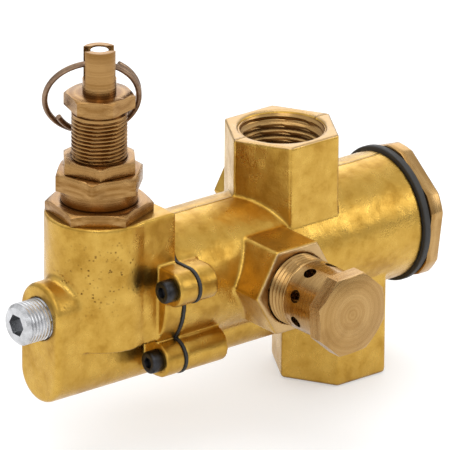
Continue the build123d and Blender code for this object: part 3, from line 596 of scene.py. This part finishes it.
def pullRing(look):
    radius = (look["outer"] - look["wire"]) / 2
    lean = math.radians(look["lean"])
    back = Vector((-slideways.y, slideways.x, 0))
    up = Vector((0, 0, 1)) * math.cos(lean) - back * math.sin(lean)
    front = slideways.cross(up)
    hang = math.radians(90 + look["shift"])
    centre = ringHinge - (slideways * math.cos(hang) + up * math.sin(hang)) * radius
    route = bpy.data.curves.new("pullRing", "CURVE")
    route.dimensions = "3D"
    wire = route.splines.new("POLY")
    wire.points.add(look["steps"])
    for n, point in enumerate(wire.points):
        angle = look["free"] + (look["last"] - look["free"]) * n / look["steps"]
        loose = max(0.0, 1 - (angle - look["free"]) / 200)
        r = radius - look["springIn"] * loose**2
        a = math.radians(angle)
        side = look["pitch"] * (90 + look["shift"] + 360 - angle) / 360
        point.co = (*(centre + slideways * r * math.cos(a) + up * r * math.sin(a) + front * side), 1)
    route.bevel_depth = look["wire"] / 2
    route.bevel_resolution = 6
    route.use_fill_caps = True
    made = bpy.data.objects.new("ringRoute", route)
    bpy.context.scene.collection.objects.link(made)
    graph = bpy.context.evaluated_depsgraph_get()
    mesh = bpy.data.meshes.new_from_object(made.evaluated_get(graph))
    bpy.data.objects.remove(made)
    return shadeByAngle(meshObject("pullRing", mesh), 60)


bronzeWire = plainMetal("bronzeWire", (0.34, 0.23, 0.15), (0.15, 0.09, 0.06), 0.34, ringHinge, tuple(slideways), 0.00002)
dress(pullRing(ringLook), "pull_ring", "bronze_wire", bronzeWire, "pull_ring")
print("stem and ring ready")

# Pipe plug

zincSteel = plainMetal("zincSteel", (0.72, 0.73, 0.75), (0.42, 0.42, 0.43), 0.3, boreAxis, (1, 0, 0))
plugThread = {"pitch": 0.94 * mm, "root": 5.25 * mm, "crest": 4.62 * mm, "outer": 6.0 * mm, "flat": 0.1,
              "steps": 8, "around": 72, "runOut": 1.0 * mm, "startCut": 1.0 * mm}
plugLow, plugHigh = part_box("pipe_plug")
plug = cadCopy("pipe_plug", "pipePlug")
plugStart = Vector((plugLow.x + 0.7 * mm, 0, (plugLow.z + plugHigh.z) / 2))
cutAway(plug, threadSleeve("plugTool", plugStart, (1, 0, 0), 9 * mm, plugThread))
softenEdges(plug, 0.0)
dress(plug, "valve_body", "zinc_steel", zincSteel, "pipe_plug")

# Vent plug

ventBrass = turnedBrass("ventBrass", ventAxis, (0, 1, 0), 0.0003, 0.000015)
ventThread = {"pitch": 1.2 * mm, "root": 8.72 * mm, "crest": 8.15 * mm, "outer": 9.6 * mm, "flat": 0.1,
              "steps": 8, "around": 96, "runOut": 1.0 * mm, "startCut": 1.0 * mm}
vent = cadCopy("vent_plug", "ventPlug")
ventStart = Vector((ventAxis.x, -21.0 * mm, boreHeight))
cutAway(vent, threadSleeve("ventTool", ventStart, (0, -1, 0), 9.2 * mm, ventThread))
softenEdges(vent, 0.0)
dress(vent, "valve_body", "machined_brass", ventBrass, "vent_plug")

# End cap, seals, gasket and screws

capBrass = turnedBrass("capBrass", boreAxis, (1, 0, 0), 0.0003, 0.000015)
dress(softenEdges(cadCopy("end_cap", "endCap"), 0.25 * mm), "valve_body", "machined_brass", capBrass, "end_cap")
gasketRubber = blackRubber("gasketRubber")
dress(softenEdges(cadCopy("body_gasket", "bodyGasket"), 0.15 * mm), "valve_body", "gasket_rubber", gasketRubber, "body_gasket")
dress(softenEdges(cadCopy("end_cap_seal", "endCapSeal"), 0.0), "valve_body", "seal_rubber", gasketRubber, "end_cap_seal")
blackSteel = plainMetal("blackSteel", (0.07, 0.07, 0.075), (0.02, 0.02, 0.022), 0.38, boreAxis, (1, 0, 0))
dress(softenEdges(cadCopy("flange_screws", "flangeScrews"), 0.1 * mm), "valve_body", "black_steel", blackSteel, "flange_screws")
print("fittings ready")

# Inner pieces keep their CAD shape and take a finish

springSteel = plainMetal("springSteel", (0.55, 0.55, 0.57), (0.35, 0.35, 0.37), 0.3, boreAxis, (1, 0, 0))
innerBrass = turnedBrass("innerBrass", boreAxis, (1, 0, 0))
innerFinish = {"machined_brass": innerBrass, "spring_steel": springSteel, "seal_rubber": gasketRubber,
               "bright_steel": brightSteel}
slots = {row["node"]: row["material_slot"] for row in frame["record"]["subparts"]}
for node, thing in frame["nodes"].items():
    if not thing.hide_render:
        thing.data.materials.clear()
        thing.data.materials.append(innerFinish[slots[node]])
print("inner pieces ready")

# Floor, light and camera

floorLook = {"size": 4.0, "colour": (0.65, 0.65, 0.65), "drop": 0.0, "glow": 0.4}
roomLook = {"low": -0.05, "high": 0.35, "dim": 0.15, "bright": 0.95}
lamps = [
    {"name": "keyLamp", "place": (-0.9, -0.9, 1.1), "size": 0.9, "power": 4},
    {"name": "sideLamp", "place": (1.0, -0.8, 0.6), "size": 0.7, "power": 2.5},
    {"name": "topLamp", "place": (0.0, 0.3, 1.4), "size": 1.2, "power": 5},
    {"name": "backLamp", "place": (0.75, 0.95, 0.62), "size": 1.2, "power": 4},
]


def whiteFloor(look):
    bpy.ops.mesh.primitive_plane_add(size=look["size"], location=(0, 0, look["drop"]))
    floor = bpy.context.object
    floor.name = "studioFloor"
    material, tree, shader = principled("floorWhite", 0.0, 0.9)
    shader.inputs["Base Color"].default_value = (*look["colour"], 1)
    shader.inputs["Emission Color"].default_value = (1, 1, 1, 1)
    seen = put(tree, "ShaderNodeLightPath")
    direct = maths(tree, "MAXIMUM", seen.outputs["Is Camera Ray"], seen.outputs["Is Transmission Ray"])
    direct = maths(tree, "MAXIMUM", direct, seen.outputs["Is Glossy Ray"])
    tree.links.new(maths(tree, "MULTIPLY", direct, look["glow"]), shader.inputs["Emission Strength"])
    floor.data.materials.append(material)


def studioWorld(look):
    # a pale room: bright overhead, darker towards the floor, which gives the metal its contrast
    world = bpy.data.worlds.new("studio")
    bpy.context.scene.world = world
    world.use_nodes = True
    tree = world.node_tree
    shader = tree.nodes["Background"]
    where = put(tree, "ShaderNodeTexCoord").outputs["Generated"]
    parts = put(tree, "ShaderNodeSeparateXYZ")
    tree.links.new(where, parts.inputs[0])
    rise = ranged(tree, parts.outputs["Z"], look["low"], look["high"], look["dim"], look["bright"])
    tree.links.new(rise, shader.inputs["Strength"])
    shader.inputs["Color"].default_value = (1, 1, 1, 1)


def softLamp(look):
    data = bpy.data.lights.new(look["name"], "AREA")
    data.shape = "DISK"
    data.size = look["size"]
    data.energy = look["power"]
    lamp = bpy.data.objects.new(look["name"], data)
    bpy.context.scene.collection.objects.link(lamp)
    lamp.location = look["place"]
    aim = Vector((-0.03, 0, 0.04)) - lamp.location
    lamp.rotation_mode = "QUATERNION"
    lamp.rotation_quaternion = aim.to_track_quat("-Z", "Y")


# The photo's view: a long lens from the front left, fitted to the port hexagons
photoView = {"turn": 38.88, "rise": 22.08, "roll": 0.49, "focalPixels": 8000.0, "imagePixels": 450.0,
             "pixelsPerMm": 4.17, "crossing": (280.55, 242.66)}


def photoCamera(look):
    a, e, t = (math.radians(look[k]) for k in ("turn", "rise", "roll"))
    right = Vector((math.cos(a), -math.sin(a), 0))
    up = Vector((math.sin(a) * math.sin(e), math.cos(a) * math.sin(e), math.cos(e)))
    ahead = Vector((math.sin(a) * math.cos(e), math.cos(a) * math.cos(e), -math.sin(e)))
    half = look["imagePixels"] / 2
    pixel = mm / look["pixelsPerMm"]
    target = Vector((inletPort.x, 0, boreHeight))  # where the inlet axis crosses the main bore
    place = target - right * (look["crossing"][0] - half) * pixel + up * (look["crossing"][1] - half) * pixel
    place -= ahead * look["focalPixels"] * pixel
    rolledRight = right * math.cos(t) + up * math.sin(t)
    rolledUp = up * math.cos(t) - right * math.sin(t)
    data = bpy.data.cameras.new("photoCamera")
    data.sensor_width = 36.0
    data.lens = look["focalPixels"] / look["imagePixels"] * data.sensor_width
    data.clip_start, data.clip_end = 0.05, 20
    camera = bpy.data.objects.new("photoCamera", data)
    bpy.context.scene.collection.objects.link(camera)
    turn = Matrix((rolledRight, rolledUp, -ahead)).transposed()
    camera.matrix_world = Matrix.Translation(place) @ turn.to_4x4()
    bpy.context.scene.camera = camera


whiteFloor(floorLook)
studioWorld(roomLook)
for lamp in lamps:
    softLamp(lamp)
photoCamera(photoView)
bpy.context.scene.view_settings.view_transform = "Standard"
print("stage ready")
